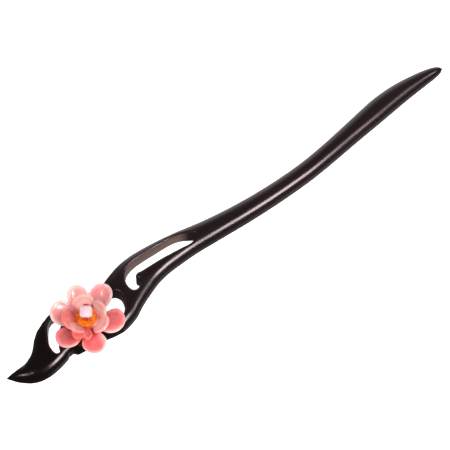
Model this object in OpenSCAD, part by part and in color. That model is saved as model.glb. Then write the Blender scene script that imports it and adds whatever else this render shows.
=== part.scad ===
// Carved wooden hair stick with a blown glass flower on its pierced head.
// All sizes are in millimetres.
// The origin lies on the surface that the stick rests on, midway between its two
// tips and level with the axis of the flower. +X runs to the tip of the shank, +Y to
// the high side of the head, and +Z up through the flower.

/* [Wooden stick] */
// Length of the carved head, from the leaf tip to the neck
head_l = 80; // [70:1:92]
// Length of the plain shank, from the neck to its blunt tip
shank_l = 100; // [70:1:130]
// Width of the head under the flower
head_w = 17.2; // [15.5:0.1:20]
// Width of the shank where it is slimmest
shank_w = 6.8; // [5.5:0.1:8]
// Thickness of the wood
stick_t = 6.2; // [5:0.1:8]
// Largest swing of the middle line to either side of the line between the tips
sway = 3.2; // [1:0.1:4.5]
// Depth, seen from above, of the rounding along both edges of the wood
edge_round = 3.4; // [2:0.1:4]

/* [Piercings] */
// Bevel around the rims of the three openings
rim_bevel = 0.4; // [0.2:0.05:0.5]
// Width of the nick in the near edge, where the leaf meets the head
nick_w = 2; // [1:0.1:3]
// Depth of the nick
nick_d = 0.7; // [0.3:0.1:1.2]

/* [Outer petals] */
// Length of a full outer petal along its curve, from its root to its tip
outer_petal_l = 10.6; // [9:0.1:12]
// Width of a full outer petal
outer_petal_w = 8.8; // [7:0.1:10]
// Angle at which an outer petal ends, above the level
outer_rise = 30; // [10:1:45]
// Depth of the hollow across an outer petal
outer_cup = 1.3; // [0.4:0.1:2]
// Diameter of the disc that joins the outer petals
outer_disc_d = 8; // [7:0.1:10]

/* [Inner petals] */
// Length of a full inner petal along its curve, from its root to its tip
inner_petal_l = 6.6; // [5:0.1:8]
// Width of a full inner petal
inner_petal_w = 6.2; // [4.5:0.1:7]
// Angle at which a full inner petal ends, above the level
inner_rise = 72; // [50:1:85]
// Depth of the hollow across an inner petal
inner_cup = 1.2; // [0.4:0.1:1.8]
// Diameter of the disc that joins the inner petals
inner_disc_d = 7; // [6.6:0.1:8.6]

/* [Glass and stamens] */
// Thickness of the glass in the middle of a petal
glass_t = 1.3; // [0.9:0.05:1.6]
// Thickness of the disc under each ring of petals
disc_t = 1.7; // [1.5:0.05:2.2]
// Diameter of the granular stamen disc
stamen_d = 7.4; // [6:0.1:8]
// Height of the stamen disc at its rim
stamen_rim_t = 0.7; // [0.4:0.1:1.2]
// Height of the stamen disc in its middle
stamen_t = 1.8; // [1.3:0.1:2.5]

/* [Bead and wire] */
// Diameter of the bead
bead_d = 4; // [3:0.1:4.5]
// Length of the bead along its hole
bead_l = 3.7; // [2:0.1:4]
// Rounding of the bead's ends
bead_round = 0.9; // [0.3:0.05:0.9]
// Angle by which the far end of the bead is lifted
bead_tilt = 20; // [0:1:30]
// Diameter of the wire that ties the flower to the wood
wire_d = 0.8; // [0.6:0.05:1]
// How far the wire's flat end in the back of the stick reaches past its legs
wire_foot_rim = 0.1; // [0.05:0.05:0.3]
// Thickness of that flat end
wire_foot_t = 0.9; // [0.6:0.1:1.4]

/* [Clearances] */
// Gap between pieces that rest on each other
seat_gap = 0.1; // [0.05:0.05:0.2]
// Gap around the wire in its holes
wire_gap = 0.12; // [0.1:0.02:0.2]

/* [Hidden] */

// Cross-sections of the stick, from the leaf tip to the shank's tip.
// in_head, in_shank: share of head_l plus share of shank_l, the distance along
// swing: share of sway, positive to the far side
// wide, slim: share of head_w plus share of shank_w, the width
// thick: share of stick_t
SECTIONS = [
    // in_head, in_shank, swing, wide, slim, thick
    [0.000, 0.000, -0.04, 0.025, 0.00, 0.14],
    [0.008, 0.000, -0.14, 0.070, 0.00, 0.30],
    [0.020, 0.000, -0.28, 0.145, 0.00, 0.44],
    [0.035, 0.000, -0.47, 0.230, 0.00, 0.58],
    [0.055, 0.000, -0.69, 0.315, 0.00, 0.72],
    [0.080, 0.000, -0.93, 0.410, 0.00, 0.84],
    [0.105, 0.000, -1.04, 0.485, 0.00, 0.93],
    [0.135, 0.000, -1.00, 0.550, 0.00, 0.98],
    [0.165, 0.000, -0.80, 0.620, 0.00, 1.00],
    [0.195, 0.000, -0.47, 0.700, 0.00, 1.00],
    [0.225, 0.000, -0.05, 0.780, 0.00, 1.00],
    [0.255, 0.000, 0.26, 0.860, 0.00, 1.00],
    [0.285, 0.000, 0.30, 0.960, 0.00, 1.00],
    [0.320, 0.000, 0.18, 0.975, 0.00, 1.00],
    [0.370, 0.000, 0.01, 0.980, 0.00, 1.00],
    [0.420, 0.000, -0.18, 0.985, 0.00, 1.00],
    [0.460, 0.000, -0.36, 1.005, 0.00, 1.00],
    [0.490, 0.000, -0.46, 0.990, 0.00, 1.00],
    [0.520, 0.000, -0.38, 0.940, 0.00, 1.00],
    [0.560, 0.000, -0.03, 0.880, 0.00, 1.00],
    [0.600, 0.000, 0.34, 0.860, 0.00, 1.00],
    [0.650, 0.000, 0.71, 0.835, 0.00, 1.00],
    [0.700, 0.000, 0.92, 0.630, 0.37, 1.00],
    [0.750, 0.000, 0.97, 0.500, 0.54, 1.00],
    [0.800, 0.000, 0.93, 0.400, 0.66, 1.00],
    [0.850, 0.000, 0.83, 0.320, 0.76, 1.00],
    [0.900, 0.000, 0.69, 0.240, 0.84, 1.00],
    [0.950, 0.000, 0.50, 0.160, 0.93, 1.00],
    [1.000, 0.000, 0.30, 0.100, 1.00, 1.00],
    [1.000, 0.060, 0.04, 0.040, 1.06, 1.00],
    [1.000, 0.130, -0.22, 0.000, 1.10, 1.00],
    [1.000, 0.210, -0.43, 0.000, 1.05, 1.00],
    [1.000, 0.300, -0.56, 0.000, 1.01, 1.00],
    [1.000, 0.400, -0.56, 0.000, 1.00, 1.00],
    [1.000, 0.500, -0.34, 0.000, 1.01, 1.00],
    [1.000, 0.600, -0.02, 0.000, 1.06, 1.00],
    [1.000, 0.680, 0.23, 0.000, 1.13, 1.00],
    [1.000, 0.740, 0.41, 0.000, 1.16, 1.00],
    [1.000, 0.800, 0.50, 0.000, 1.10, 0.99],
    [1.000, 0.850, 0.49, 0.000, 0.99, 0.96],
    [1.000, 0.900, 0.40, 0.000, 0.84, 0.88],
    [1.000, 0.935, 0.31, 0.000, 0.71, 0.79],
    [1.000, 0.965, 0.20, 0.000, 0.57, 0.67],
    [1.000, 0.984, 0.11, 0.000, 0.42, 0.52],
    [1.000, 0.995, 0.05, 0.000, 0.26, 0.34],
    [1.000, 1.000, 0.02, 0.000, 0.10, 0.15]
];

// Outlines of the three openings, each a closed curve through its rows, which run
// anticlockwise seen from above.
// in_head: share of head_l along the stick
// across: share of the half width there, positive to the far side
LEAF_OPENING = [
    [0.294, 0.73], [0.275, 0.73], [0.255, 0.69], [0.230, 0.50], [0.208, 0.21],
    [0.202, -0.10], [0.205, -0.40], [0.218, -0.54], [0.230, -0.47], [0.237, -0.24],
    [0.254, -0.02], [0.279, 0.18], [0.306, 0.33], [0.333, 0.44], [0.356, 0.53],
    [0.362, 0.64], [0.346, 0.73], [0.320, 0.74]
];
FLOWER_OPENING = [
    [0.529, 0.43], [0.493, 0.48], [0.459, 0.39], [0.435, 0.17], [0.428, -0.14],
    [0.435, -0.40], [0.454, -0.54], [0.482, -0.59], [0.512, -0.57], [0.532, -0.48],
    [0.547, -0.30], [0.556, 0.00], [0.547, 0.29]
];
NECK_OPENING = [
    [0.952, 0.02], [0.931, 0.32], [0.900, 0.52], [0.856, 0.58], [0.781, 0.54],
    [0.706, 0.54], [0.665, 0.53], [0.636, 0.48], [0.612, 0.29], [0.602, -0.03],
    [0.607, -0.34], [0.624, -0.48], [0.646, -0.46], [0.652, -0.29], [0.648, -0.12],
    [0.655, -0.01], [0.668, 0.00], [0.686, -0.07], [0.720, -0.14], [0.788, -0.22],
    [0.862, -0.31], [0.918, -0.35]
];
// Where the flower's axis goes through the head, in the same two shares
FLOWER_SEAT = [0.377, -0.19];
// The point of the nick's edge on the near side, and the way that the edge runs there
NICK_PLACE = [0.249, -1.00];
NICK_TURN = 25;

// Petals of the outer flower, round the axis.
// turn: direction in degrees; long, broad, raised: shares of the full length,
// width and rise
OUTER_PETALS = [
    // turn, long, broad, raised
    [73, 0.97, 0.75, 1.00],
    [24, 1.05, 0.81, 1.05],
    [-42, 0.94, 0.92, 0.90],
    [-111, 0.96, 0.85, 0.85],
    [-172, 0.97, 0.84, 0.90],
    [126, 0.94, 0.92, 1.00]
];
// Petals of the inner flower, with the same columns
INNER_PETALS = [
    [66, 0.94, 1.05, 1.00],
    [-4, 0.79, 1.02, 1.00],
    [-69, 0.92, 1.05, 0.85],
    [-124, 1.00, 0.46, 0.65],
    [-151, 0.95, 0.70, 0.50],
    [-167, 0.74, 0.85, 0.95],
    [151, 0.98, 1.10, 0.90]
];

// Direction of the hole in the bead, seen from above
bead_turn = 51;
// Diameter of the wire's round turn at each end of the bead, as a share of its own
turn_share = 1.5;
// Corners of a petal's outline, and rings of points from its middle to its rim
petal_sides = 18;
petal_rings = 3;
// How much broader the outer half of a petal is than its inner half
petal_egg = 0.3;
// Share of the glass that is lost towards the rim of a petal
rim_thinning = 0.45;
// Distance from the flower's axis at which its petals start
petal_root_r = 2.4;
// Grains of the stamens: their number around the disc, their waves across it, their
// depth as a share of the rim's height, and the share of the radius where they start
grain_count = 9;
grain_waves = 1.5;
grain_depth = 0.4;
grain_start = 0.55;
// Share of the stick's width that stays flat where its rounded edges would meet
flat_share = 0.04;

// Points on each edge of a cross-section, and steps between two table rows
edge_steps = 12;
row_steps = 2;
curve_steps = 3;
// A cut goes this far past the surface that it opens
past = 0.1;

stick_l = head_l + shank_l;
mid_z = stick_t / 2;
outer_z = stick_t + seat_gap;
inner_z = outer_z + disc_t + seat_gap;
stamen_z = inner_z + disc_t + seat_gap;
// Centre of the rounding of the bead's ends, along the hole and out from it
bead_corner = [bead_l / 2 - bead_round, bead_d / 2 - bead_round];
// Half the height of the tilted bead, and half its length along the level
bead_up = bead_corner * [sin(bead_tilt), cos(bead_tilt)] + bead_round;
bead_out = bead_corner * [cos(bead_tilt), sin(bead_tilt)] + bead_round;
bead_z = stamen_z + stamen_t + seat_gap + bead_up;
wire_bore_d = wire_d + 2 * wire_gap;
leg_r = bead_out + wire_gap + wire_d / 2;
foot_z = seat_gap + past;
wire_foot_d = 2 * (leg_r + wire_foot_rim) + wire_d;
foot_recess_d = wire_foot_d + 2 * wire_gap;
foot_recess_t = foot_z + wire_foot_t + seat_gap;

// One point of the Catmull-Rom curve between b and c, at t from 0 to 1
function spline(a, b, c, d, t) =
    (2 * b + (c - a) * t + (2 * a - 5 * b + 4 * c - d) * t * t
    + (3 * b - a - 3 * c + d) * t * t * t) / 2;

// A smooth list of rows through the rows of an open table
function smooth_open(rows, steps) = let (last = len(rows) - 1) [
    for (i = [0:last - 1], k = [0:steps - 1])
        spline(rows[max(i - 1, 0)], rows[i], rows[i + 1], rows[min(i + 2, last)], k / steps),
    rows[last]
];

// A smooth closed curve through a ring of points
function smooth_closed(ring, steps) = let (n = len(ring)) [
    for (i = [0:n - 1], k = [0:steps - 1])
        spline(ring[(i + n - 1) % n], ring[i], ring[(i + 1) % n], ring[(i + 2) % n], k / steps)
];

// Sections as sizes: x, swing of the middle line, half width, half thickness
stations = [
    for (row = smooth_open(SECTIONS, row_steps)) [
        row[0] * head_l + row[1] * shank_l - stick_l / 2,
        row[2] * sway,
        (row[3] * head_w + row[4] * shank_w) / 2,
        row[5] * stick_t / 2
    ]
];
function swing_at(x) = lookup(x, [for (s = stations) [s[0], s[1]]]);
function half_width_at(x) = lookup(x, [for (s = stations) [s[0], s[2]]]);

// A place on the head, given by its share of head_l and of the half width there
function on_head(place) = let (x = place[0] * head_l - stick_l / 2)
    [x, swing_at(x) + place[1] * half_width_at(x)];

seat = on_head(FLOWER_SEAT);

// One ring of points around the stick, square to its middle line
function stick_ring(i) = let (
    here = stations[i],
    before = stations[max(i - 1, 0)],
    after = stations[min(i + 1, len(stations) - 1)],
    way = [after[0] - before[0], after[1] - before[1]] / norm([after[0] - before[0], after[1] - before[1]]),
    round = min(edge_round, (1 - flat_share) * here[2])
) [
    for (side = [1, -1], k = [0:edge_steps]) let (
        a = side * (180 * k / edge_steps - 90),
        across = side * (here[2] - round + round * cos(a))
    ) [
        here[0] - way[1] * across,
        here[1] + way[0] * across - seat[1],
        mid_z + here[3] * sin(a)
    ]
];

// Triangles that join rings of n points, with a flat face on both ends
function tube_faces(rings, n) = concat(
    [[for (j = [0:n - 1]) j]],
    [
        for (i = [0:rings - 2], j = [0:n - 1], half = [0, 1]) let (
            a = i * n + j,
            b = i * n + (j + 1) % n
        ) half == 0 ? [a, a + n, b] : [b, a + n, b + n]
    ],
    [[for (j = [n - 1:-1:0]) (rings - 1) * n + j]]
);

// The outline of an opening, moved outwards by grow
function grown(ring, grow) = let (n = len(ring)) [
    for (i = [0:n - 1]) let (
        way = ring[(i + 1) % n] - ring[(i + n - 1) % n]
    ) ring[i] + grow * [way[1], -way[0]] / norm(way)
];

// The cut of one opening, wider at both rims by the bevel
module opening(table) {
    ring = smooth_closed([for (row = table) on_head(row) - [0, seat[1]]], curve_steps);
    levels = [
        [-past, rim_bevel + past],
        [rim_bevel, 0],
        [stick_t - rim_bevel, 0],
        [stick_t + past, rim_bevel + past]
    ];
    points = [for (level = levels, p = grown(ring, level[1])) [p[0], p[1], level[0]]];
    polyhedron(points, tube_faces(len(levels), len(ring)));
}

// Both legs of the wire pass through here
module at_wire_legs() {
    for (side = [1, -1])
        translate([seat[0] + side * leg_r * cos(bead_turn), side * leg_r * sin(bead_turn), 0])
            children();
}

// Holes for the two legs, from z = low to z = high
module wire_bores(low, high) {
    at_wire_legs()
        translate([0, 0, low - past])
            cylinder(h = high - low + 2 * past, d = wire_bore_d, $fn = 32);
}

module stick() color([0.12, 0.08, 0.08]) {
    ring_points = 2 * (edge_steps + 1);
    nick = on_head(NICK_PLACE) - [0, seat[1]];
    difference() {
        polyhedron(
            [for (i = [0:len(stations) - 1]) each stick_ring(i)],
            tube_faces(len(stations), ring_points)
        );
        opening(LEAF_OPENING);
        opening(FLOWER_OPENING);
        opening(NECK_OPENING);
        translate([nick[0], nick[1], -past])
            rotate(NICK_TURN)
                linear_extrude(stick_t + 2 * past)
                    polygon([[-nick_w, -nick_d], [0, nick_d], [nick_w, -nick_d]]);
        wire_bores(0, stick_t);
        translate([seat[0], 0, -past])
            cylinder(h = foot_recess_t + past, d = foot_recess_d, $fn = 48);
    }
}

// One petal, along +X from its root: a curved and hollowed oval of glass.
// l and w are its length and width, rise is the angle at its tip, and cup is the
// depth of its hollow.
module petal(l, w, rise, cup) {
    bend_r = l / (rise * PI / 180);
    layer = [
        for (k = [0:petal_rings], j = [0:(k == 0 ? 0 : petal_sides - 1)]) let (
            share = k / petal_rings,
            a = 360 * j / petal_sides,
            s = 0.5 + 0.5 * share * cos(a),
            y = w / 2 * share * sin(a) * (1 + petal_egg * cos(a)),
            slope = rise * s,
            hollow = cup * s * pow(2 * y / w, 2),
            half_t = glass_t / 2 * (1 - rim_thinning * share * share)
        ) [bend_r * sin(slope), y, bend_r * (1 - cos(slope)), slope, hollow, half_t]
    ];
    points = [
        for (side = [1, -1], p = layer) let (off = p[4] + side * p[5])
            [petal_root_r + p[0] - off * sin(p[3]), p[1], p[2] + off * cos(p[3]) + glass_t / 2]
    ];
    n = petal_sides;
    m = len(layer);
    first = function (k) 1 + (k - 1) * n;
    faces = [
        for (j = [0:n - 1]) let (next = (j + 1) % n)
            each [
                [0, 1 + next, 1 + j],
                [m, m + 1 + j, m + 1 + next],
                for (k = [1:petal_rings - 1]) let (
                    a = first(k) + j,
                    b = first(k) + next
                ) each [
                    [a, b, b + n], [a, b + n, a + n],
                    [m + a, m + b + n, m + b], [m + a, m + a + n, m + b + n]
                ],
                [first(petal_rings) + j, first(petal_rings) + next, m + first(petal_rings) + next],
                [first(petal_rings) + j, m + first(petal_rings) + next, m + first(petal_rings) + j]
            ]
    ];
    polyhedron(points, faces);
}

// A ring of petals on a disc with holes for the wire, standing on z = low
module glass_flower(low, table, l, w, rise, cup, disc_d) {
    difference() {
        translate([seat[0], 0, low]) {
            cylinder(h = disc_t, d = disc_d, $fn = 48);
            for (row = table)
                rotate(row[0])
                    petal(row[1] * l, row[2] * w, row[3] * rise, cup);
        }
        wire_bores(low, low + disc_t);
    }
}

module outer_flower() color([1, 0.62, 0.6, 0.9])
    glass_flower(outer_z, OUTER_PETALS, outer_petal_l, outer_petal_w, outer_rise, outer_cup, outer_disc_d);

module inner_flower() color([1, 0.5, 0.48, 0.9])
    glass_flower(inner_z, INNER_PETALS, inner_petal_l, inner_petal_w, inner_rise, inner_cup, inner_disc_d);

// Height of the granular stamen disc at a share of its radius and a direction
function stamen_top(share, a) =
    stamen_rim_t + (stamen_t - stamen_rim_t) * (1 - pow(share, 3))
    - (share > grain_start
        ? grain_depth * stamen_rim_t * share * (1 + cos(grain_count * a) * cos(360 * grain_waves * share))
        : 0);

module stamens() color([0.96, 0.5, 0.1]) {
    sides = 36;
    shares = [0.3, 0.55, 0.7, 0.85, 1];
    n = len(shares);
    points = concat(
        [[0, 0, stamen_t], [0, 0, 0]],
        [
            for (share = shares, j = [0:sides - 1]) let (a = 360 * j / sides)
                [share * stamen_d / 2 * cos(a), share * stamen_d / 2 * sin(a), stamen_top(share, a)]
        ],
        [for (j = [0:sides - 1]) let (a = 360 * j / sides) [stamen_d / 2 * cos(a), stamen_d / 2 * sin(a), 0]]
    );
    faces = [
        for (j = [0:sides - 1]) let (next = (j + 1) % sides)
            each [
                [0, 2 + next, 2 + j],
                [1, 2 + n * sides + j, 2 + n * sides + next],
                for (k = [0:n - 1]) let (
                    a = 2 + k * sides + j,
                    b = 2 + k * sides + next
                ) each [[a, b, b + sides], [a, b + sides, a + sides]]
            ]
    ];
    difference() {
        translate([seat[0], 0, stamen_z]) polyhedron(points, faces);
        wire_bores(stamen_z, stamen_z + stamen_t);
    }
}

// Places a piece made around the bead's middle, with +X the way that its far end points
module along_bead() {
    translate([seat[0], 0, bead_z]) rotate(bead_turn) children();
}

module centre_bead() color([0.98, 0.84, 0.85])
    along_bead()
        rotate([0, 90 - bead_tilt, 0])
            rotate_extrude($fn = 48)
                bead_profile();

// Half of the bead's section: a wall with two rounded outer corners
module bead_profile() {
    wall = (bead_d - wire_bore_d) / 2;
    translate([wire_bore_d / 2, -bead_l / 2])
        square([wall - bead_round, bead_l]);
    translate([wire_bore_d / 2, -bead_corner[0]])
        square([wall, 2 * bead_corner[0]]);
    for (end = [0, 1])
        mirror([0, end])
            translate([bead_corner[1], bead_corner[0]])
                intersection() {
                    circle(r = bead_round, $fn = 32);
                    square(bead_round);
                }
}

module flower_wire() color([0.62, 0.12, 0.12]) {
    low = foot_z + wire_foot_t / 2;
    through = leg_r / cos(bead_tilt);
    translate([seat[0], 0, foot_z])
        cylinder(h = wire_foot_t, d = wire_foot_d, $fn = 48);
    along_bead() {
        rotate([0, 90 - bead_tilt, 0])
            translate([0, 0, -through])
                cylinder(h = 2 * through, d = wire_d, $fn = 32);
        for (side = [1, -1]) {
            turn_z = side * leg_r * tan(bead_tilt);
            translate([side * leg_r, 0, turn_z])
                sphere(d = turn_share * wire_d, $fn = 32);
            translate([side * leg_r, 0, low - bead_z])
                cylinder(h = bead_z + turn_z - low, d = wire_d, $fn = 32);
        }
    }
}

stick();
outer_flower();
inner_flower();
stamens();
centre_bead();
flower_wire();
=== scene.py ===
"""A carved dark wooden hair stick with a pink glass flower on its pierced head.

Sizes are in millimetres until a mesh is made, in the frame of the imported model.
"""
import math

import bpy
import numpy as np
from mathutils import Matrix


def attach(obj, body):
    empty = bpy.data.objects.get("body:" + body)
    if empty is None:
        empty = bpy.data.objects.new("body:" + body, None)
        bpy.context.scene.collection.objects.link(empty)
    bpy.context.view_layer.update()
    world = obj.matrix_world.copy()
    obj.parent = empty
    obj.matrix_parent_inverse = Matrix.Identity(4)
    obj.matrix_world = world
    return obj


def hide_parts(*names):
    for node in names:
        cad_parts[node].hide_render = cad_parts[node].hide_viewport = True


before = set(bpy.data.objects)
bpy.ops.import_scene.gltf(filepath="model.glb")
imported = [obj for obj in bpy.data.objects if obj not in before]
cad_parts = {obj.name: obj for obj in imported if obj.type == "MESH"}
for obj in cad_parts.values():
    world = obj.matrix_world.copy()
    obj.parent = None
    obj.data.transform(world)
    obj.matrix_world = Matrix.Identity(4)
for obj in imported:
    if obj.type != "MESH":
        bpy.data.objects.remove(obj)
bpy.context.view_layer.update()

# Camera
PHOTO_PX = 450
SENSOR_MM = 36
CAMERA_UP = 62.0  # degrees above the horizontal
IMAGE_RIGHT = np.array([0.7783, -0.6279, 0.0])
IMAGE_AWAY = np.array([0.6279, 0.7783, 0.0])
TARGET = np.array([-3.496, 1.205, 3.0])
DISTANCE = 700.0
FOCAL_PX = 2172.3


def pose_matrix(right, up, back, place):
    matrix = np.eye(4)
    for column, part in enumerate((right, up, back, place)):
        matrix[:3, column] = part
    return Matrix(matrix.tolist())


def place_camera():
    up = math.radians(CAMERA_UP)
    sky = np.array([0.0, 0.0, 1.0])
    back = -IMAGE_AWAY * math.cos(up) + sky * math.sin(up)
    head = IMAGE_AWAY * math.sin(up) + sky * math.cos(up)
    place = (TARGET + back * DISTANCE) / 1000
    data = bpy.data.cameras.new("camera")
    data.sensor_width = SENSOR_MM
    data.lens = FOCAL_PX / PHOTO_PX * SENSOR_MM
    data.clip_start = 0.01
    camera = bpy.data.objects.new("camera", data)
    bpy.context.scene.collection.objects.link(camera)
    camera.matrix_world = pose_matrix(IMAGE_RIGHT, head, back, place)
    bpy.context.scene.camera = camera


# Sizes, as in the solids where they have the same form
# Lengths are in mm, turns in degrees, and the tables hold shares of the lengths.
HEAD_L, SHANK_L = 80.0, 100.0
HEAD_W, SHANK_W, STICK_T = 17.2, 6.8, 6.2
SWAY, EDGE_ROUND, FLAT_SHARE = 3.2, 3.4, 0.04
RIM_ROUND, NICK_ROUND = 0.9, 0.35
STICK_L = HEAD_L + SHANK_L
SECTIONS = [
    # in_head, in_shank, swing, wide, slim, thick
    [0.000, 0.000, -0.04, 0.025, 0.00, 0.14],
    [0.008, 0.000, -0.14, 0.070, 0.00, 0.30],
    [0.020, 0.000, -0.28, 0.145, 0.00, 0.44],
    [0.035, 0.000, -0.47, 0.230, 0.00, 0.58],
    [0.055, 0.000, -0.69, 0.315, 0.00, 0.72],
    [0.080, 0.000, -0.93, 0.410, 0.00, 0.84],
    [0.105, 0.000, -1.04, 0.485, 0.00, 0.93],
    [0.135, 0.000, -1.00, 0.550, 0.00, 0.98],
    [0.165, 0.000, -0.80, 0.620, 0.00, 1.00],
    [0.195, 0.000, -0.47, 0.700, 0.00, 1.00],
    [0.225, 0.000, -0.05, 0.780, 0.00, 1.00],
    [0.255, 0.000, 0.26, 0.860, 0.00, 1.00],
    [0.285, 0.000, 0.30, 0.960, 0.00, 1.00],
    [0.320, 0.000, 0.18, 0.975, 0.00, 1.00],
    [0.370, 0.000, 0.01, 0.980, 0.00, 1.00],
    [0.420, 0.000, -0.18, 0.985, 0.00, 1.00],
    [0.460, 0.000, -0.36, 1.005, 0.00, 1.00],
    [0.490, 0.000, -0.46, 0.990, 0.00, 1.00],
    [0.520, 0.000, -0.38, 0.940, 0.00, 1.00],
    [0.560, 0.000, -0.03, 0.880, 0.00, 1.00],
    [0.600, 0.000, 0.34, 0.860, 0.00, 1.00],
    [0.650, 0.000, 0.71, 0.835, 0.00, 1.00],
    [0.700, 0.000, 0.92, 0.630, 0.37, 1.00],
    [0.750, 0.000, 0.97, 0.500, 0.54, 1.00],
    [0.800, 0.000, 0.93, 0.400, 0.66, 1.00],
    [0.850, 0.000, 0.83, 0.320, 0.76, 1.00],
    [0.900, 0.000, 0.69, 0.240, 0.84, 1.00],
    [0.950, 0.000, 0.50, 0.160, 0.93, 1.00],
    [1.000, 0.000, 0.30, 0.100, 1.00, 1.00],
    [1.000, 0.060, 0.04, 0.040, 1.06, 1.00],
    [1.000, 0.130, -0.22, 0.000, 1.10, 1.00],
    [1.000, 0.210, -0.43, 0.000, 1.05, 1.00],
    [1.000, 0.300, -0.56, 0.000, 1.01, 1.00],
    [1.000, 0.400, -0.56, 0.000, 1.00, 1.00],
    [1.000, 0.500, -0.34, 0.000, 1.01, 1.00],
    [1.000, 0.600, -0.02, 0.000, 1.06, 1.00],
    [1.000, 0.680, 0.23, 0.000, 1.13, 1.00],
    [1.000, 0.740, 0.41, 0.000, 1.16, 1.00],
    [1.000, 0.800, 0.50, 0.000, 1.10, 0.99],
    [1.000, 0.850, 0.49, 0.000, 0.99, 0.96],
    [1.000, 0.900, 0.40, 0.000, 0.84, 0.88],
    [1.000, 0.935, 0.31, 0.000, 0.71, 0.79],
    [1.000, 0.965, 0.20, 0.000, 0.57, 0.67],
    [1.000, 0.984, 0.11, 0.000, 0.42, 0.52],
    [1.000, 0.995, 0.05, 0.000, 0.26, 0.34],
    [1.000, 1.000, 0.02, 0.000, 0.10, 0.15],
]
LEAF_OPENING = [
    [0.294, 0.73], [0.275, 0.73], [0.255, 0.69], [0.230, 0.50], [0.208, 0.21],
    [0.202, -0.10], [0.205, -0.40], [0.218, -0.54], [0.230, -0.47], [0.237, -0.24],
    [0.254, -0.02], [0.279, 0.18], [0.306, 0.33], [0.333, 0.44], [0.356, 0.53],
    [0.362, 0.64], [0.346, 0.73], [0.320, 0.74],
]
FLOWER_OPENING = [
    [0.529, 0.43], [0.493, 0.48], [0.459, 0.39], [0.435, 0.17], [0.428, -0.14],
    [0.435, -0.40], [0.454, -0.54], [0.482, -0.59], [0.512, -0.57], [0.532, -0.48],
    [0.547, -0.30], [0.556, 0.00], [0.547, 0.29],
]
NECK_OPENING = [
    [0.952, 0.02], [0.931, 0.32], [0.900, 0.52], [0.856, 0.58], [0.781, 0.54],
    [0.706, 0.54], [0.665, 0.53], [0.636, 0.48], [0.612, 0.29], [0.602, -0.03],
    [0.607, -0.34], [0.624, -0.48], [0.646, -0.46], [0.652, -0.29], [0.648, -0.12],
    [0.655, -0.01], [0.668, 0.00], [0.686, -0.07], [0.720, -0.14], [0.788, -0.22],
    [0.862, -0.31], [0.918, -0.35],
]
FLOWER_SEAT = [0.377, -0.19]
NICK_PLACE, NICK_TURN, NICK_W, NICK_D = [0.249, -1.00], 25, 2.0, 0.7

SEAT_GAP, DISC_T, GLASS_T = 0.1, 1.7, 1.3
STAMEN_D, STAMEN_RIM_T, STAMEN_T = 7.4, 0.7, 1.8
BEAD_D, BEAD_L, BEAD_ROUND, BEAD_TURN, BEAD_TILT = 4.0, 3.7, 0.9, 51, 20
WIRE_D, WIRE_GAP, FOOT_RIM, FOOT_T, FOOT_LIFT = 0.8, 0.12, 0.1, 0.9, 0.1
OUTER_Z = STICK_T + SEAT_GAP
INNER_Z = OUTER_Z + DISC_T + SEAT_GAP
STAMEN_Z = INNER_Z + DISC_T + SEAT_GAP
BORE_D = WIRE_D + 2 * WIRE_GAP
TILT_COS, TILT_SIN = math.cos(math.radians(BEAD_TILT)), math.sin(math.radians(BEAD_TILT))
BEAD_CORE_L, BEAD_CORE_R = BEAD_L / 2 - BEAD_ROUND, BEAD_D / 2 - BEAD_ROUND
BEAD_UP = BEAD_CORE_L * TILT_SIN + BEAD_CORE_R * TILT_COS + BEAD_ROUND
BEAD_OUT = BEAD_CORE_L * TILT_COS + BEAD_CORE_R * TILT_SIN + BEAD_ROUND
BEAD_Z = STAMEN_Z + STAMEN_T + SEAT_GAP + BEAD_UP
LEG_R = BEAD_OUT + WIRE_GAP + WIRE_D / 2
FOOT_D = 2 * (LEG_R + FOOT_RIM) + WIRE_D
FOOT_Z = SEAT_GAP + FOOT_LIFT
PETAL_ROOT_R = 2.4
PETAL_EGG = 0.3
OUTER_L, OUTER_W, OUTER_RISE, OUTER_CUP, OUTER_DISC = 10.6, 8.8, 30, 1.3, 8.0
INNER_L, INNER_W, INNER_RISE, INNER_CUP, INNER_DISC = 6.6, 6.2, 72, 1.2, 7.0
OUTER_HALF_T, INNER_HALF_T, PETAL_FILLET = 0.48, 0.52, 0.5
DISC_ROUND, HOLE_ROUND, RIM_FADE = 0.4, 0.15, 2.2
LIP_T, LIP_IN, LIP_W = 0.1, 0.8, 0.5  # the thicker band just inside a petal's rim
GRAINS, GRAIN_TURN, GRAIN_R, GRAIN_VARY = 84, 137.508, 0.36, 0.07
GRAIN_INSET, GRAIN_BEAT = 0.42, 2.4  # how far in the outermost lie, and how their sizes vary
CORE_INSET, CORE_DROP = 0.35, 0.42  # how much smaller the core under the grains is
BEAD_SOFTER, HOLE_LIP = 0.25, 0.18  # the bead's corners are rounder than the solid's
PLY_R, PLY_OFF, PLY_LAY = 0.13, 0.09, 1.3
COIL_TURNS, COIL_STEPS, COIL_R, COIL_EYE, COIL_UP = 6, 40, 0.235, 0.25, 0.24
PLATE_UP, PLATE_SIDES = 0.3, 64  # the plate over the coil
CHANNEL_R, SKIN = 0.5, 0.02
LIT_WALL_FROM, LIT_WALL_TO = -41.0, -15.5  # where the painted light on the neck opening's far wall fades out along the stick
LIT_WALL_FADE_FROM, LIT_WALL_FADE_TO, LIT_WALL_EDGE = 2.0, 2.5, 0.25  # how softly it fades there and at its edge
STICK_LOW, STICK_HIGH = (-91.0, -9.2, -0.6), (91.0, 12.2, 6.8)  # a box round the stick
STAMEN_REACH, BOX_MARGIN = 4.0, 0.3  # half the stamens' box, and a box's spare height
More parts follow.
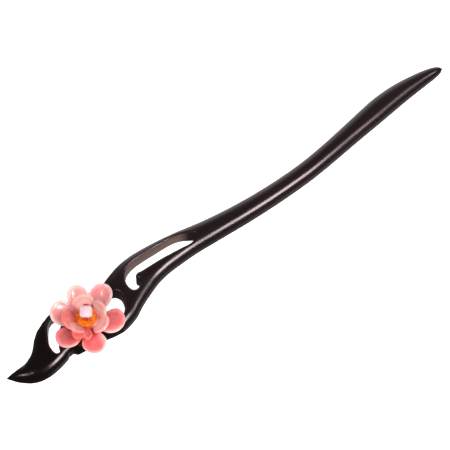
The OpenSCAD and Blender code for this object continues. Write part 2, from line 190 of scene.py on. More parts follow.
OUTER_PETALS = [
    # turn, long, broad, raised, how pale it is (partly its glass, partly painted light and shade),
    # and how strong a painted sheen is towards one side
    [73, 0.97, 0.75, 1.00, 0.70, 0.0],
    [24, 1.05, 0.81, 1.05, 0.54, 0.0],
    [-42, 0.94, 0.92, 0.90, 0.24, -0.6],
    [-111, 0.96, 0.85, 0.85, 0.20, 1.0],
    [-172, 0.97, 0.84, 0.90, 0.12, 0.3],
    [126, 0.94, 0.92, 1.00, 0.64, 0.0],
]
INNER_PETALS = [
    [66, 0.94, 1.05, 1.00, 0.80, 0.0],
    [-4, 0.79, 1.02, 1.00, 0.75, 0.0],
    [-69, 0.92, 1.05, 0.85, 0.70, 0.0],
    [-124, 1.00, 0.46, 0.65, 0.25, 0.0],
    [-151, 0.95, 0.70, 0.50, 0.15, 0.0],
    [-167, 0.74, 0.85, 0.95, 0.60, 0.0],
    [151, 0.98, 1.10, 0.90, 0.32, 0.0],
]

# How fine each mesh is, in mm, and how often its points are moved onto the field.
STICK_STEP, OUTER_STEP, INNER_STEP, STAMEN_STEP, ROUNDS = 0.27, 0.17, 0.14, 0.11, 2


# Curves and distances

def spline(a, b, c, d, t):
    """A smooth curve from b to c, which heads on to d as it came from a."""
    square = (2 * a - 5 * b + 4 * c - d) * t * t
    cube = (3 * b - a - 3 * c + d) * t ** 3
    return (2 * b + (c - a) * t + square + cube) / 2


def smooth_rows(rows, steps):
    rows = np.array(rows, float)
    last = len(rows) - 1
    out = [
        spline(rows[max(i - 1, 0)], rows[i], rows[i + 1], rows[min(i + 2, last)], k / steps)
        for i in range(last) for k in range(steps)
    ]
    return np.array(out + [rows[last]])


def smooth_ring(ring, steps):
    ring = np.array(ring, float)
    n = len(ring)
    return np.array([
        spline(ring[i - 1], ring[i], ring[(i + 1) % n], ring[(i + 2) % n], k / steps)
        for i in range(n) for k in range(steps)
    ])


def ring_distance(places, ring, reach=4.0):
    """Distance to a closed ring in the plane, positive inside it, and -reach far outside."""
    out = np.full(len(places), -reach)
    near = np.all((places > ring.min(0) - reach) & (places < ring.max(0) + reach), axis=1)
    which = np.flatnonzero(near)
    start, end = ring, np.roll(ring, -1, 0)
    edge = end - start
    length2 = (edge ** 2).sum(1)
    for part in np.array_split(which, max(1, len(which) // 4000)):
        p = places[part][:, None, :]
        t = np.clip(((p - start) * edge).sum(2) / length2, 0, 1)
        away = p - start - t[..., None] * edge
        distance = np.sqrt((away ** 2).sum(2).min(1))
        rises = (start[:, 1] > p[..., 1]) != (end[:, 1] > p[..., 1])
        with np.errstate(divide="ignore", invalid="ignore"):
            at = start[:, 0] + (p[..., 1] - start[:, 1]) * edge[:, 0] / edge[:, 1]
        inside = (rises & (p[..., 0] < at)).sum(1) % 2 == 1
        out[part] = np.where(inside, distance, -distance)
    return np.maximum(out, -reach)


def round_meet(a, b, r):
    """The part inside both fields, with a rounded edge of radius r between them."""
    corner = np.hypot(np.maximum(r - a, 0), np.maximum(r - b, 0))
    return np.maximum(r, np.minimum(a, b)) - corner


def soft_join(a, b, k):
    """The part inside either field, with a fillet of size k where they meet."""
    h = np.maximum(k - np.abs(a - b), 0) / k
    return np.maximum(a, b) + h * h * k / 4


def surface_net(field, low, step):
    """Corners and quads of the zero surface of sampled values, which are positive inside."""
    cells = np.array(field.shape) - 1
    size = int(np.prod(cells))
    total = np.zeros((size, 3))
    count = np.zeros(size)
    quads = []
    for axis in range(3):
        a = np.moveaxis(np.moveaxis(field, axis, 0)[:-1], 0, axis)
        b = np.moveaxis(np.moveaxis(field, axis, 0)[1:], 0, axis)
        at = np.argwhere((a > 0) != (b > 0))
        va, vb = a[tuple(at.T)], b[tuple(at.T)]
        place = at.astype(float)
        place[:, axis] += va / (va - vb)
        u, v = (axis + 1) % 3, (axis + 2) % 3
        corners, valid = [], np.ones(len(at), bool)
        for du, dv in ((-1, -1), (0, -1), (0, 0), (-1, 0)):
            cell = at.copy()
            cell[:, u] += du
            cell[:, v] += dv
            ok = np.all((cell >= 0) & (cell < cells), axis=1)
            flat = (cell[:, 0] * cells[1] + cell[:, 1]) * cells[2] + cell[:, 2]
            flat = np.where(ok, flat, 0)
            for k in range(3):
                total[:, k] += np.bincount(flat[ok], place[ok, k], size)
            count += np.bincount(flat[ok], minlength=size)
            corners.append(flat)
            valid &= ok
        quad = np.stack(corners, 1)[valid]
        flip = va[valid] <= 0
        quad[flip] = quad[flip][:, ::-1]
        quads.append(quad)
    used = np.flatnonzero(count)
    index = np.zeros(size, int)
    index[used] = np.arange(len(used))
    points = np.array(low) + step * total[used] / count[used, None]
    return points, index[np.concatenate(quads)]


def settle(points, field, reach, eps=0.03):
    """Moves points onto the zero surface of a field, at most reach at a time."""
    for _ in range(ROUNDS):
        here = field(points)
        slope = np.stack([
            (field(points + eps * np.eye(3)[k]) - field(points - eps * np.eye(3)[k])) / (2 * eps)
            for k in range(3)
        ], 1)
        length = np.maximum(np.linalg.norm(slope, axis=1), 0.2)
        move = np.clip(here / length, -reach, reach)
        points = points - (move / length)[:, None] * slope
    return points


def grid_axes(low, high, step):
    return [np.arange(low[k], high[k] + step, step) for k in range(3)]


def sampled(field, low, high, step):
    axes = grid_axes(low, high, step)
    grid = np.stack(np.meshgrid(*axes, indexing="ij"), -1)
    values = field(grid.reshape(-1, 3)).reshape(grid.shape[:3])
    return surface_net(values, low, step)


# Making pieces

def make_piece(name, points, faces, material, node):
    mesh = bpy.data.meshes.new(name)
    if isinstance(faces, np.ndarray):
        faces = faces.tolist()
    mesh.from_pydata((np.asarray(points) / 1000).tolist(), [], faces)
    mesh.update()
    mesh.shade_smooth()
    piece = bpy.data.objects.new(name, mesh)
    bpy.context.scene.collection.objects.link(piece)
    mesh.materials.append(material)
    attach(piece, "root")
    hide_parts(node)
    return piece


def add_values(piece, name, values):
    layer = piece.data.attributes.new(name, "FLOAT", "POINT")
    layer.data.foreach_set("value", np.asarray(values, np.float32))


# The wooden stick
stations = smooth_rows(SECTIONS, 6)
along_x = stations[:, 0] * HEAD_L + stations[:, 1] * SHANK_L - STICK_L / 2
swing = stations[:, 2] * SWAY
half_w = (stations[:, 3] * HEAD_W + stations[:, 4] * SHANK_W) / 2
half_t = stations[:, 5] * STICK_T / 2
lean = np.gradient(swing, along_x)


def on_head(place):
    x = place[0] * HEAD_L - STICK_L / 2
    return np.array([x, np.interp(x, along_x, swing) + place[1] * np.interp(x, along_x, half_w)])


seat = on_head(FLOWER_SEAT)
shift = np.array([0.0, seat[1]])
openings = [
    smooth_ring([on_head(row) - shift for row in table], 5)
    for table in (LEAF_OPENING, FLOWER_OPENING, NECK_OPENING)
]
nick_turn = math.radians(NICK_TURN)
nick_way = np.array([
    [math.cos(nick_turn), math.sin(nick_turn)],
    [-math.sin(nick_turn), math.cos(nick_turn)],
])
nick = np.array([[-NICK_W, -NICK_D], [0, NICK_D], [NICK_W, -NICK_D]]) @ nick_way
nick += on_head(NICK_PLACE) - shift


def stick_plan(places):
    """What the stick's field needs of a place seen from above."""
    x, y = places[:, 0], places[:, 1] + seat[1]
    s = np.clip(x, along_x[0], along_x[-1])
    for _ in range(6):
        slope = np.interp(s, along_x, lean)
        size = np.hypot(1, slope)
        ahead = ((x - s) + (y - np.interp(s, along_x, swing)) * slope) / size
        s = np.clip(s + ahead / size, along_x[0], along_x[-1])
    slope = np.interp(s, along_x, lean)
    size = np.hypot(1, slope)
    dx, dy = x - s, y - np.interp(s, along_x, swing)
    ahead = (dx + dy * slope) / size
    across = (dy - dx * slope) / size
    w = np.interp(s, along_x, half_w)
    r = np.minimum(EDGE_ROUND, (1 - FLAT_SHARE) * w)
    past = np.where((s <= along_x[0]) | (s >= along_x[-1]), np.abs(ahead), 0)
    wood = -np.max([ring_distance(places, ring) for ring in openings], axis=0)
    notch = -ring_distance(places, nick, reach=1.5)
    return across, w, np.interp(s, along_x, half_t), r, past, wood, notch


def stick_solid(plan, z):
    """The stick's field. The bores and the foot recess of the solid stick aren't carved here."""
    across, w, t, r, past, wood, notch = plan
    side = np.maximum(np.abs(across) - (w - r), 0) / r
    body = (1 - np.hypot(side, (z - STICK_T / 2) / t)) * t - past
    return round_meet(round_meet(body, wood, RIM_ROUND), notch, NICK_ROUND)


def stick_field(points):
    return stick_solid(stick_plan(points[:, :2]), points[:, 2])


def build_stick(material):
    step = STICK_STEP
    axes = grid_axes(STICK_LOW, STICK_HIGH, step)
    flat = np.stack(np.meshgrid(axes[0], axes[1], indexing="ij"), -1).reshape(-1, 2)
    plan = [value[:, None] for value in stick_plan(flat)]
    values = stick_solid(plan, axes[2][None, :]).reshape([len(axis) for axis in axes])
    points, quads = surface_net(values, STICK_LOW, step)
    points = settle(points, stick_field, step / 2)
    piece = make_piece("carved_stick", points, quads, material, "stick")
    # Painted light: the neck opening's far wall, which faces the lamps, gets a lighter brown that
    # stands in for the light falling on it.
    in_neck = 1 + ring_distance(points[:, :2], openings[2]) / LIT_WALL_EDGE
    across = stick_plan(points[:, :2])[0]
    x = points[:, 0]
    ends = np.minimum((x - LIT_WALL_FROM) / LIT_WALL_FADE_FROM, (LIT_WALL_TO - x) / LIT_WALL_FADE_TO)
    painted_wall_light = np.clip(in_neck, 0, 1) * np.clip(across, 0, 1) * np.clip(ends, 0, 1)
    add_values(piece, "cut", painted_wall_light)


# The glass flowers

def petal_fields(points, low, table, length, width, rise, cup, puff):
    """Each petal's field, share along it, distance in from its rim, and share across it."""
    out = []
    angle = np.radians(np.arange(0, 360, 5))
    for row in table:
        turn, long, broad, raised = row[:4]
        c, s = math.cos(math.radians(turn)), math.sin(math.radians(turn))
        px, py = points[:, 0] - seat[0], points[:, 1]
        x, y, z = c * px + s * py, -s * px + c * py, points[:, 2] - low
        l, w, up = length * long, width * broad, math.radians(rise * raised)
        bend = l / up
        centre_z = GLASS_T / 2 + bend
        theta = np.arctan2(x - PETAL_ROOT_R, centre_z - z)
        share = theta / up
        off = bend - np.hypot(x - PETAL_ROOT_R, centre_z - z)
        outline = np.stack([
            l * (0.5 + 0.5 * np.cos(angle)),
            w / 2 * np.sin(angle) * (1 + PETAL_EGG * np.cos(angle)),
        ], 1)
        inset = ring_distance(np.stack([share * l, y], 1), outline, reach=3.0)
        s01 = np.clip(share, 0, 1.1)
        hollow = cup * s01 * np.clip(2 * y / w, -1.2, 1.2) ** 2
        half = puff + LIP_T * np.exp(-((inset - LIP_IN) / LIP_W) ** 2)
        field = half - np.hypot(off - hollow, np.maximum(half - inset, 0))
        out.append((field, s01, inset, 2 * y / w))
    return out


def flower_field(low, table, length, width, rise, cup, puff, disc_d):
    """A ring of petals joined to its disc, with a hole for each leg of the thread."""
    def field(points):
        parts = petal_fields(points, low, table, length, width, rise, cup, puff)
        r = np.hypot(points[:, 0] - seat[0], points[:, 1])
        z = points[:, 2] - low
        disc = round_meet(disc_d / 2 - r, np.minimum(z, DISC_T - z), DISC_ROUND)
        for part in parts:
            disc = soft_join(disc, part[0], PETAL_FILLET)
        for side in (1, -1):
            leg = seat[0] + side * LEG_R * math.cos(math.radians(BEAD_TURN))
            leg_y = side * LEG_R * math.sin(math.radians(BEAD_TURN))
            hole = np.hypot(points[:, 0] - leg, points[:, 1] - leg_y) - BORE_D / 2
            disc = round_meet(disc, hole, HOLE_ROUND)
        return np.minimum(disc, z)
    return field


def build_flower(name, node, material, low, high_z, reach, step, args):
    """One ring of petals. args is what flower_field needs after low."""
    field = flower_field(low, *args)
    lo = np.array([seat[0] - reach, -reach, low - BOX_MARGIN])
    hi = np.array([seat[0] + reach, reach, high_z])
    points, quads = sampled(field, lo, hi, step)
    points = settle(points, field, step / 2)
    piece = make_piece(name, points, quads, material, node)
    parts = petal_fields(points, low, *args[:6])
    best = np.argmax([p[0] for p in parts], axis=0)
    rows = np.arange(len(points))
    along, inset, across = (np.array([p[k] for p in parts])[best, rows] for k in (1, 2, 3))
    add_values(piece, "along", np.clip(along, 0, 1))
    add_values(piece, "rim", np.clip(1 - inset / RIM_FADE, 0, 1))
    # Each petal's paleness is partly its glass and partly painted light and shade; the last column
    # adds a painted sheen along one side.
    tone_and_light, painted_sheen = np.array([row[4:] for row in args[0]])[best].T
    side = np.clip(np.sign(painted_sheen) * across - 0.3, 0, 1)
    add_values(piece, "tone_and_light", tone_and_light + np.abs(painted_sheen) * side)


# The line of bead and thread

def bead_frame():
    """The bead's middle, the way along its hole to its far end, and the two ways square to that."""
    a = math.radians(BEAD_TURN)
    level = np.array([math.cos(a), math.sin(a), 0.0])
    side = np.array([-math.sin(a), math.cos(a), 0.0])
    sky = np.array([0.0, 0.0, 1.0])
    centre = np.array([seat[0], 0.0, BEAD_Z])
    return centre, level * TILT_COS + sky * TILT_SIN, side, sky * TILT_COS - level * TILT_SIN


def thread_leg(end):
    """Points along one leg of the thread, from its foot into the bead, and its half width there."""
    centre, way, side, up = bead_frame()
    level = end * np.array([way[0], way[1], 0.0]) / TILT_COS
    # Rows of upright are the distance from the flower's axis, the height and the half width.
    upright = [(LEG_R, z, 0.24) for z in (FOOT_Z + FOOT_T / 2, OUTER_Z, STAMEN_Z - SEAT_GAP)]
    # Rows of bend and through are the distance out of the bead, the rise and the half width.
    if end > 0:
        bend = [(0.5, -1.9, 0.4), (0.45, -1.1, 0.6), (0.42, 0.3, 0.66)]
    else:
        upright += [(LEG_R - 0.5, STAMEN_Z + 0.35, 0.2), (1.35, STAMEN_Z + 0.9, 0.2)]
        bend = [(0.05, -1.9, 0.24), (0.24, -1.15, 0.4), (0.26, -0.35, 0.58)]
    through = [(-0.15, 0, 0.22), (-BEAD_L / 4, 0, 0.2)]
    points = [np.array([seat[0], 0.0, z]) + level * r for r, z, _ in upright]
    high = bend + through
    points += [centre + way * end * (BEAD_L / 2 + out) + up * rise for out, rise, _ in high]
    return points, [row[2] for row in upright + high]


# Stamens

def stamen_grains():
    """Middles and radii of the grains, in a sunflower's spiral over the dome."""
    grains = []
    for i in range(GRAINS):
        share = math.sqrt((i + 0.5) / GRAINS)
        a = i * math.radians(GRAIN_TURN)
        r = share * (STAMEN_D / 2 - GRAIN_INSET)
        top = STAMEN_RIM_T + (STAMEN_T - STAMEN_RIM_T) * (1 - share ** 3)
        size = GRAIN_R + GRAIN_VARY * math.sin(i * GRAIN_BEAT)
        z = STAMEN_Z + top - size - SKIN
        grains.append([seat[0] + r * math.cos(a), r * math.sin(a), z, size])
    return np.array(grains)


def build_stamens(material):
    grains = stamen_grains()
    channels = [thread_leg(end)[0][2:-2] for end in (1, -1)]

    def field(points):
        r = np.hypot(points[:, 0] - seat[0], points[:, 1])
        z = points[:, 2] - STAMEN_Z
        share = np.clip(r / (STAMEN_D / 2), 0, 1)
        top = STAMEN_RIM_T + (STAMEN_T - STAMEN_RIM_T) * (1 - share ** 3) - CORE_DROP
        body = round_meet(STAMEN_D / 2 - CORE_INSET - r, np.minimum(z, top - z), 0.1)
        nearest = np.full(len(points), -np.inf)
        for grain in grains:
            away = np.linalg.norm(points - grain[:3], axis=1)
            nearest = np.maximum(nearest, grain[3] - away)
        solid = soft_join(body, nearest, 0.12)
        for path in channels:
            for start, end in zip(path[:-1], path[1:]):
                edge = end - start
                t = np.clip((points - start) @ edge / (edge @ edge), 0, 1)
                away = np.linalg.norm(points - start - t[:, None] * edge, axis=1)
                solid = np.minimum(solid, away - CHANNEL_R)
        return np.minimum(solid, z)

    lo = np.array([seat[0] - STAMEN_REACH, -STAMEN_REACH, STAMEN_Z - BOX_MARGIN])
    hi = np.array([seat[0] + STAMEN_REACH, STAMEN_REACH, STAMEN_Z + STAMEN_T + BOX_MARGIN])
    points, quads = sampled(field, lo, hi, STAMEN_STEP)
    make_piece("stamen_grains", points, quads, material, "stamens")


# Bead and thread

def build_bead(material):
    centre, way, side, up = bead_frame()
    half, out_r, hole_r = BEAD_L / 2 - SKIN, BEAD_D / 2 - SKIN, BORE_D / 2
    lip, soft = HOLE_LIP, BEAD_ROUND + BEAD_SOFTER
    quarter = math.pi / 2
    profile = [
        (half - soft + soft * math.sin(a), out_r - soft + soft * math.cos(a))
        for a in np.linspace(0, quarter, 14)
    ]
    profile += [
        (half - lip + lip * math.cos(a), hole_r + lip - lip * math.sin(a))
        for a in np.linspace(0, quarter, 8)
    ]
    mirrored = [(-u, r) for u, r in reversed(profile)]
    belly = [(u, out_r) for u in np.linspace(soft - half, half - soft, 8)[1:-1]]
    throat = [(u, hole_r) for u in np.linspace(half - lip, -(half - lip), 8)[1:-1]]
    ring = belly + profile + throat + mirrored
    turns, n = 96, len(ring)
    points, faces = [], []
    for j in range(turns):
        a = 2 * math.pi * j / turns
        for u, r in ring:
            points.append(centre + way * u + r * (math.cos(a) * side + math.sin(a) * up))
    for j in range(turns):
        for i in range(n):
            a, b = j * n + i, j * n + (i + 1) % n
            c, d = ((j + 1) % turns) * n + (i + 1) % n, ((j + 1) % turns) * n + i
            # These corners run backwards, so the bead's faces look inwards.
            faces.append([a, b, c, d])
    make_piece("pearl_bead", np.array(points), faces, material, "centre_bead")


def tangents(path):
    way = np.gradient(path, axis=0)
    return way / np.linalg.norm(way, axis=1)[:, None]


def tube(path, radius, sides=10):
    """Corners and faces of a closed-ended round tube along a path."""
    path = np.array(path)
    tangent = tangents(path)
    normal = np.cross(tangent[0], [0.3, 0.5, 0.81])
    normal /= np.linalg.norm(normal)
    points, faces = [], []
    for i, (p, t) in enumerate(zip(path, tangent)):
        normal = normal - t * np.dot(normal, t)
        normal /= np.linalg.norm(normal)
        other = np.cross(t, normal)
        for k in range(sides):
            a = 2 * math.pi * k / sides
            points.append(p + radius * (math.cos(a) * normal + math.sin(a) * other))
    for i in range(len(path) - 1):
        for k in range(sides):
            a, b = i * sides + k, i * sides + (k + 1) % sides
            faces.append([a, b, b + sides, a + sides])
    faces.append(list(range(sides))[::-1])
    last = (len(path) - 1) * sides
    faces.append([last + k for k in range(sides)])
    return points, faces


def build_thread(material):
    """Three strands of two plies, and a coil under a plate at their foot, inside the wood."""
    side = bead_frame()[2]
    points, faces = [], []

    def add(new, quads):
        faces.extend([[i + len(points) for i in face] for face in quads])
        points.extend(new)

    for lane in (-1, 0, 1):
        rows = []
        for end in (1, -1):
            leg = [p + side * spread * lane for p, spread in zip(*thread_leg(end))]
            rows += leg if end > 0 else leg[::-1]
        path = smooth_rows(rows, 8)
        tangent = tangents(path)
        steps = np.linalg.norm(np.diff(path, axis=0), axis=1)
        length = np.concatenate([[0], np.cumsum(steps)])
        for ply in (0, 1):
            twist = 2 * math.pi * length / PLY_LAY + ply * math.pi
            across = side - tangent * (tangent @ side)[:, None]
            across /= np.linalg.norm(across, axis=1)[:, None]
            other = np.cross(tangent, across)
            turned = np.cos(twist)[:, None] * across + np.sin(twist)[:, None] * other
            add(*tube(path + PLY_OFF * turned, PLY_R, 8))
    coil = []
    whole = COIL_TURNS * 2 * math.pi
    for a in np.linspace(0, whole, COIL_TURNS * COIL_STEPS):
        r = COIL_EYE + (FOOT_D / 2 - 2 * COIL_EYE) * a / whole
        coil.append([seat[0] + r * math.cos(a), r * math.sin(a), FOOT_Z + COIL_UP])
    add(*tube(coil, COIL_R))
    rounds = PLATE_SIDES
    rim = []
    for z in (FOOT_Z + PLATE_UP, FOOT_Z + FOOT_T):
        for k in range(rounds):
            a = 2 * math.pi * k / rounds
            rim.append([seat[0] + FOOT_D / 2 * math.cos(a), FOOT_D / 2 * math.sin(a), z])
    wall = [[k, (k + 1) % rounds, (k + 1) % rounds + rounds, k + rounds] for k in range(rounds)]
    add(rim, wall + [list(range(rounds))[::-1], [rounds + k for k in range(rounds)]])
    make_piece("tie_thread", np.array(points), faces, material, "flower_wire")


# Materials

def linear(v):
    return v / 12.92 if v < 0.04045 else ((v + 0.055) / 1.055) ** 2.4


def srgb(r, g, b):
    return tuple(linear(v / 255) for v in (r, g, b)) + (1.0,)


class Look:
    """A material whose nodes are added one line at a time."""

    def __init__(self, name, **inputs):
        self.material = bpy.data.materials.new(name)
        self.material.use_nodes = True
        self.tree = self.material.node_tree
        self.shader = self.tree.nodes["Principled BSDF"]
        for key, value in inputs.items():
            socket = key.replace("_", " ").title().replace("Ior", "IOR")
            self.shader.inputs[socket].default_value = value

    def add(self, kind, inputs, **settings):
        node = self.tree.nodes.new(kind)
        for key, value in settings.items():
            setattr(node, key, value)
        for key, value in inputs.items():
            if isinstance(value, bpy.types.NodeSocket):
                self.tree.links.new(value, node.inputs[key])
            else:
                node.inputs[key].default_value = value
        return node

    def attribute(self, name):
        return self.add("ShaderNodeAttribute", {}, attribute_name=name).outputs["Fac"]

    def link(self, value, name):
        self.tree.links.new(value, self.shader.inputs[name])

    def coords(self, scale=(1, 1, 1)):
        place = self.add("ShaderNodeTexCoord", {}).outputs["Object"]
        return self.add("ShaderNodeMapping", {"Vector": place, "Scale": scale}).outputs[0]

    def noise(self, scale, detail, rough, distortion=0.0):
        return self.add("ShaderNodeTexNoise", {
            "Vector": self.coords(scale), "Scale": 1.0, "Detail": detail, "Roughness": rough,
            "Distortion": distortion,
        }).outputs[0]

    def ramp(self, value, stops):
        node = self.add("ShaderNodeValToRGB", {"Fac": value})
        ramp = node.color_ramp
        ramp.elements[0].position, ramp.elements[0].color = stops[0]
        ramp.elements[1].position, ramp.elements[1].color = stops[-1]
        for place, colour in stops[1:-1]:
            ramp.elements.new(place).color = colour
        return node.outputs[0]

    def mix(self, fac, a, b):
        return self.add("ShaderNodeMix", {0: fac, 6: a, 7: b}, data_type="RGBA").outputs[2]

    def scaled(self, value, low, high, to_low, to_high):
        return self.add("ShaderNodeMapRange", {
            "Value": value, "From Min": low, "From Max": high, "To Min": to_low, "To Max": to_high,
        }).outputs[0]

    def total(self, a, b):
        return self.add("ShaderNodeMath", {0: a, 1: b}, operation="ADD").outputs[0]

    def bump(self, height, strength, distance):
        node = self.add("ShaderNodeBump", {
            "Height": height, "Strength": strength, "Distance": distance,
        })
        self.link(node.outputs[0], "Normal")


def grey(v):
    return (v, v, v, 1.0)


def wood_look():
    look = Look(
        "polished_ebony", roughness=0.22,
        specular_ior_level=0.75, specular_tint=(1.0, 0.83, 0.83, 1.0),
    )
    grain = look.noise((45, 900, 900), 6, 0.6, 0.4)
    streaks = look.noise((14, 260, 260), 3, 0.5, 0.8)
    cloud = look.noise((60, 60, 60), 2, 0.5)
    streak_share = look.scaled(streaks, 0.35, 0.7, 0, 1)
    leaf = look.mix(streak_share, srgb(9, 4, 4), srgb(15, 7, 7))
    shank = look.mix(streak_share, srgb(25, 17, 18), srgb(36, 26, 28))
    place = look.add("ShaderNodeSeparateXYZ", {"Vector": look.coords()}).outputs[0]
    dark = look.mix(look.scaled(place, -0.066, -0.04, 0, 1), leaf, shank)
    warm = look.mix(look.scaled(cloud, 0.5, 0.8, 0, 0.5), dark, srgb(34, 16, 14))
    fine = look.mix(look.scaled(grain, 0.55, 0.75, 0, 0.35), warm, srgb(12, 9, 9))
    # Painted light: a lighter brown on the neck opening's far wall stands in for the light falling
    # on it, and the wall is made rougher there.
    cut = look.attribute("cut")
    painted_wall_light = look.mix(streak_share, srgb(102, 80, 71), srgb(120, 96, 86))
    look.link(look.mix(cut, fine, painted_wall_light), "Base Color")
    polish = look.scaled(grain, 0.3, 0.8, 0.2, 0.24)
    look.link(look.total(polish, look.scaled(cut, 0, 1, 0, 0.35)), "Roughness")
    look.bump(grain, 0.006, 0.0001)
    return look.material


def glass_look(name, deep, mid, pale, root_tone, rim_tone):
    """Milky glass between three colours. The tones say how much lighter its root and rim are; a
    deeper root is painted shade, and a lighter rim a painted sheen.
    """
    look = Look(
        name, roughness=0.35, specular_ior_level=0.2, coat_weight=0.9, coat_roughness=0.04,
        subsurface_weight=1.0, subsurface_scale=0.005, subsurface_radius=(1.0, 0.35, 0.3),
    )
    along, rim, tone_and_light = (look.attribute(key) for key in ("along", "rim", "tone_and_light"))
    swirl = look.noise((260, 260, 260), 2, 0.5, 1.2)
    # Painted shade deepens the colour towards the roots, where the petals lie in each other's
    # shade, and a painted sheen lightens the rims.
    shade = look.total(tone_and_light, look.scaled(along, 0.0, 0.5, root_tone, 0.05))
    shade = look.total(shade, look.scaled(rim, 0.25, 1.0, 0, rim_tone))
    shade = look.total(shade, look.scaled(swirl, 0.3, 0.7, -0.1, 0.1))
    look.link(look.ramp(shade, [(0.0, deep), (0.5, mid), (1.0, pale)]), "Base Color")
    return look.material


def stamen_look():
    look = Look(
        "stamen_grain_glass", roughness=0.3,
        subsurface_weight=0.6, subsurface_scale=0.0006, subsurface_radius=(1.0, 0.45, 0.12),
    )
    place = look.coords((1300, 1300, 1300))
    cells = look.add("ShaderNodeTexVoronoi", {"Vector": place, "Scale": 1.0}).outputs["Color"]
    level = look.add("ShaderNodeSeparateColor", {"Color": cells}).outputs[0]
    stops = [(0.0, srgb(206, 84, 4)), (0.5, srgb(226, 108, 4)), (1.0, srgb(236, 138, 8))]
    look.link(look.ramp(level, stops), "Base Color")
    return look.material


def bead_look():
    look = Look(
        "pearl_glass", roughness=0.4, specular_ior_level=0.25, coat_weight=0.3, coat_roughness=0.08,
        subsurface_weight=1.0, subsurface_scale=0.004, subsurface_radius=(1.0, 0.7, 0.7),
    )
    cloud = look.noise((420, 420, 420), 3, 0.5, 0.6)
    stops = [(0.3, srgb(215, 178, 185)), (0.55, srgb(220, 187, 192)), (0.8, srgb(224, 195, 196))]
    look.link(look.ramp(cloud, stops), "Base Color")
    return look.material


def thread_look():
    look = Look("crimson_thread", roughness=0.6, sheen_weight=0.3)
    fibre = look.noise((2600, 2600, 2600), 3, 0.6)
    look.link(look.ramp(fibre, [(0.3, srgb(165, 5, 18)), (0.7, srgb(218, 20, 36))]), "Base Color")
    look.bump(fibre, 0.3, 0.0001)
    return look.material


def floor_look():
    look = Look(
        "white_sweep", roughness=0.7,
        emission_color=(1.0, 1.0, 1.0, 1.0), emission_strength=1.0,
    )
    cloud = look.noise((2, 2, 2), 2, 0.5)
    look.link(look.ramp(cloud, [(0.3, grey(0.93)), (0.7, grey(0.96))]), "Base Color")
    return look.material


# Floor and light

def build_floor():
    mesh = bpy.data.meshes.new("floor")
    r, z = 1.6, -2e-5
    mesh.from_pydata([(-r, -r, z), (r, -r, z), (r, r, z), (-r, r, z)], [], [(0, 1, 2, 3)])
    mesh.materials.append(floor_look())
    floor = bpy.data.objects.new("floor", mesh)
    bpy.context.scene.collection.objects.link(floor)
    floor.visible_glossy = False


def area_light(name, place, aim, size, size_y, power, along=(1.0, 0.0, 0.0)):
    """A rectangle of light at a place in metres, with its first side along a direction."""
    data = bpy.data.lights.new(name, "AREA")
    data.shape = "RECTANGLE"
    data.size, data.size_y, data.energy = size, size_y, power
    light = bpy.data.objects.new(name, data)
    bpy.context.scene.collection.objects.link(light)
    place, aim = np.array(place, float), np.array(aim, float)
    back = (place - aim) / np.linalg.norm(place - aim)
    right = np.array(along) - np.dot(along, back) * back
    right /= np.linalg.norm(right)
    light.matrix_world = pose_matrix(right, np.cross(back, right), back, place)
    return light


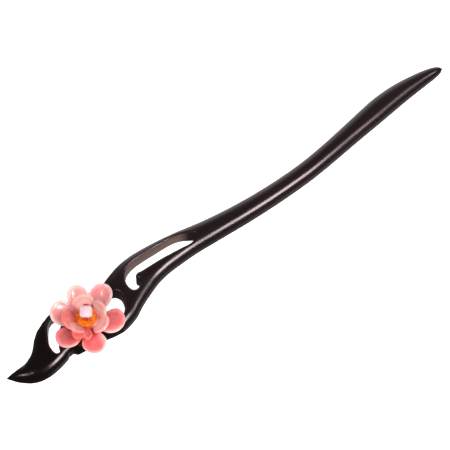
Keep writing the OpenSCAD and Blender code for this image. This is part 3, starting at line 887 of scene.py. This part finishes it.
def build_light():
    world = bpy.data.worlds.new("studio")
    bpy.context.scene.world = world
    world.use_nodes = True
    nodes, links = world.node_tree.nodes, world.node_tree.links
    way = nodes.new("ShaderNodeTexCoord")
    parts = nodes.new("ShaderNodeSeparateXYZ")
    links.new(way.outputs["Generated"], parts.inputs[0])

    def fade(axis, start, end, low, high):
        node = nodes.new("ShaderNodeMapRange")
        node.interpolation_type = "SMOOTHSTEP"
        values = {"From Min": start, "From Max": end, "To Min": low, "To Max": high}
        for name, value in values.items():
            node.inputs[name].default_value = value
        links.new(parts.outputs[axis], node.inputs["Value"])
        return node.outputs[0]

    def combine(operation, a, b):
        node = nodes.new("ShaderNodeMath")
        node.operation = operation
        for index, value in ((0, a), (1, b)):
            if isinstance(value, bpy.types.NodeSocket):
                links.new(value, node.inputs[index])
            else:
                node.inputs[index].default_value = value
        return node.outputs[0]

    north = combine("MULTIPLY", fade("Y", -0.1, 0.5, 0, 1), fade("Z", 0.15, 0.85, 1.0, 0))
    near_floor = combine("MULTIPLY", fade("Y", -0.1, 0.1, 1, 0), fade("Z", -0.45, -0.05, 0.45, 0))
    right = fade("X", 0.05, 0.3, 0.04, 1)
    bright = combine("MULTIPLY", right, combine("ADD", north, near_floor))
    links.new(combine("ADD", bright, 0.05), nodes["Background"].inputs["Strength"])
    nodes["Background"].inputs["Color"].default_value = (1, 1, 1, 1)
    area_light("long_strip", (0.265, -0.45, 0.67), (0.265, 0, 0), 0.24, 0.34, 4)
    area_light("side_strip", (0.67, -0.45, 0.67), (0.67, 0, 0), 0.16, 0.34, 1.4)
    flower, north_way = (-0.06, 0, 0), (0.0, 1.0, 0.0)
    area_light("west_glint", (-0.47, 0.06, 0.9), flower, 0.32, 0.05, 1.0, north_way)
    top = area_light("top_fill", (-0.25, -0.5, 1.05), flower, 1.0, 1.0, 7.5)
    west = area_light("west_fill", (-0.85, -0.1, 0.5), flower, 0.9, 0.8, 5.2, north_way)
    top.visible_glossy = west.visible_glossy = False


# The whole scene
bpy.context.scene.view_settings.view_transform = "Standard"
place_camera()
build_floor()
build_light()
build_stick(wood_look())
outer_glass = glass_look(
    "outer_petal_glass", srgb(198, 90, 94), srgb(232, 143, 143), srgb(246, 190, 188), -0.5, 0.36,
)
build_flower(
    "outer_petals", "outer_flower", outer_glass,
    OUTER_Z, 10.6, 12.6, OUTER_STEP,
    (OUTER_PETALS, OUTER_L, OUTER_W, OUTER_RISE, OUTER_CUP, OUTER_HALF_T, OUTER_DISC),
)
inner_glass = glass_look(
    "inner_petal_glass", srgb(232, 94, 88), srgb(246, 152, 147), srgb(252, 196, 190), -0.5, -0.12,
)
build_flower(
    "inner_petals", "inner_flower", inner_glass,
    INNER_Z, 13.2, 8.6, INNER_STEP,
    (INNER_PETALS, INNER_L, INNER_W, INNER_RISE, INNER_CUP, INNER_HALF_T, INNER_DISC),
)
build_stamens(stamen_look())
build_bead(bead_look())
build_thread(thread_look())
